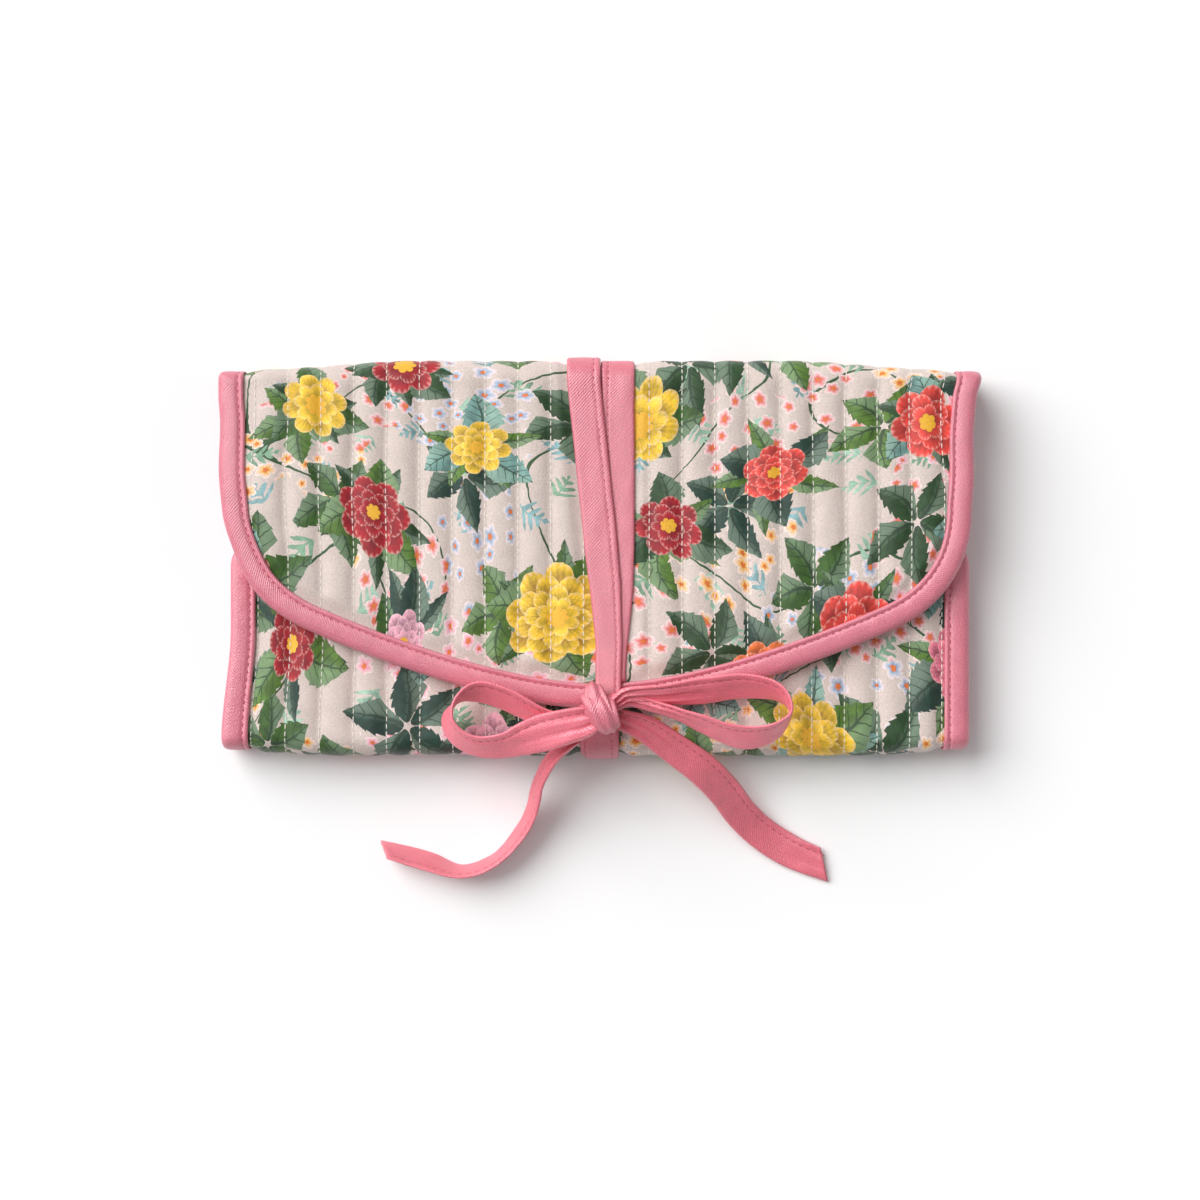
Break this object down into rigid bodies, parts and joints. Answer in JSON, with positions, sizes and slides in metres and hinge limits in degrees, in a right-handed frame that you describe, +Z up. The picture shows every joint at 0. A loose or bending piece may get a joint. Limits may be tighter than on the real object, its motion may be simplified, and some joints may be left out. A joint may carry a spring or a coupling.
{
  "type": "jewelry roll",
  "caption": "Quilted floral cloth jewelry roll, folded in three and tied shut with a pink cloth bow, with bound edges, a zip pocket and a ring bar inside.",
  "frame": {"origin": "middle of the back panel's resting face, on the outer tie that lies flush in it", "axes": "+X across the roll to the right as pictured, +Y from the flap's tip to the top fold, +Z up out of the flap"},
  "size_m": [0.24, 0.1664, 0.0359],
  "materials": {
    "printed_cloth": "matte printed cotton, quilted",
    "pink_binding": "matte cotton bias binding",
    "pink_tie": "matte cotton twill",
    "lining_cloth": "matte plain cotton",
    "pocket_cloth": "matte plain cotton",
    "zip_tape": "matte woven tape",
    "brass": "satin"
  },
  "bodies": {
    "back": {"back_quilt": "printed_cloth", "back_lining": "lining_cloth", "back_binding_left": "pink_binding", "back_binding_right": "pink_binding", "tie_outer_back": "pink_tie", "tie_inner_back": "pink_tie", "zip_pocket_cloth": "pocket_cloth", "zip_tape_upper": "zip_tape", "zip_tape_lower": "zip_tape", "zip_teeth_upper": "brass", "zip_teeth_lower": "brass", "zip_stop_left": "brass", "zip_stop_right": "brass", "ring_bar_sewn_tab": "pink_binding", "snap_stud": "brass"},
    "bottom_fold": {"bottom_fold_quilt": "printed_cloth", "bottom_fold_lining": "lining_cloth", "bottom_fold_binding_left": "pink_binding", "bottom_fold_binding_right": "pink_binding", "tie_outer_bottom_fold": "pink_tie", "tie_inner_bottom_fold": "pink_tie"},
    "front": {"front_quilt": "printed_cloth", "front_lining": "lining_cloth", "front_binding": "pink_binding", "front_slip_pocket": "pocket_cloth", "tie_outer_front": "pink_tie", "tie_inner_front": "pink_tie"},
    "top_fold": {"top_fold_quilt": "printed_cloth", "top_fold_lining": "lining_cloth", "top_fold_binding_left": "pink_binding", "top_fold_binding_right": "pink_binding", "tie_outer_top_fold": "pink_tie", "tie_inner_top_fold": "pink_tie"},
    "flap": {"flap_quilt": "printed_cloth", "flap_lining": "lining_cloth", "flap_binding": "pink_binding", "flap_slip_pocket": "pocket_cloth", "tie_outer_flap": "pink_tie", "tie_inner_flap": "pink_tie", "bow_knot": "pink_tie", "bow_loop_left": "pink_tie", "bow_loop_right": "pink_tie"},
    "tail_left": {"bow_tail_left": "pink_tie"},
    "tail_right": {"bow_tail_right": "pink_tie"},
    "ring_bar": {"ring_bar_pad": "lining_cloth", "ring_bar_snap_tab": "pink_binding", "snap_socket": "brass", "snap_cap": "brass"},
    "zip_slider": {"zip_slider": "brass"},
    "zip_pull": {"zip_pull": "brass"}
  },
  "joints": [
    {"name": "top_fold_turn", "type": "hinge", "parent": "back", "child": "top_fold", "pos_m": [0, 0.0625, 0], "axis": [-1, 0, 0], "range_deg": [0, 90]},
    {"name": "flap_turn", "type": "hinge", "parent": "top_fold", "child": "flap", "pos_m": [0, 0.0625, 0.0242], "axis": [-1, 0, 0], "range_deg": [0, 84]},
    {"name": "bottom_fold_turn", "type": "hinge", "parent": "back", "child": "bottom_fold", "pos_m": [0, -0.0625, 0], "axis": [1, 0, 0], "range_deg": [0, 90]},
    {"name": "front_turn", "type": "hinge", "parent": "bottom_fold", "child": "front", "pos_m": [0, -0.0625, 0.0174], "axis": [1, 0, 0], "range_deg": [0, 90]},
    {"name": "ring_bar_lift", "type": "hinge", "parent": "back", "child": "ring_bar", "pos_m": [-0.0803, 0.013, 0.0062], "axis": [0, -1, 0], "range_deg": [0, 45]},
    {"name": "tail_left_swing", "type": "hinge", "parent": "flap", "child": "tail_left", "pos_m": [-0.0022, -0.0543, 0.0281], "axis": [-1, 0, 0], "range_deg": [0, 40]},
    {"name": "tail_right_swing", "type": "hinge", "parent": "flap", "child": "tail_right", "pos_m": [0.0058, -0.051, 0.0267], "axis": [-1, 0, 0], "range_deg": [0, 40]},
    {"name": "zip_slide", "type": "slide", "parent": "back", "child": "zip_slider", "axis": [1, 0, 0], "range_m": [0, 0.16]},
    {"name": "zip_pull_turn", "type": "hinge", "parent": "zip_slider", "child": "zip_pull", "pos_m": [-0.08, -0.013, 0.0088], "axis": [0, 0, 1], "range_deg": [-40, 40]}
  ],
  "couplings": [
    {"joint": "flap_turn", "follows": "top_fold_turn", "ratio": 0.93},
    {"joint": "bottom_fold_turn", "follows": "top_fold_turn", "ratio": 1},
    {"joint": "front_turn", "follows": "top_fold_turn", "ratio": 1},
    {"joint": "ring_bar_lift", "follows": "top_fold_turn", "ratio": 0.5}
  ]
}
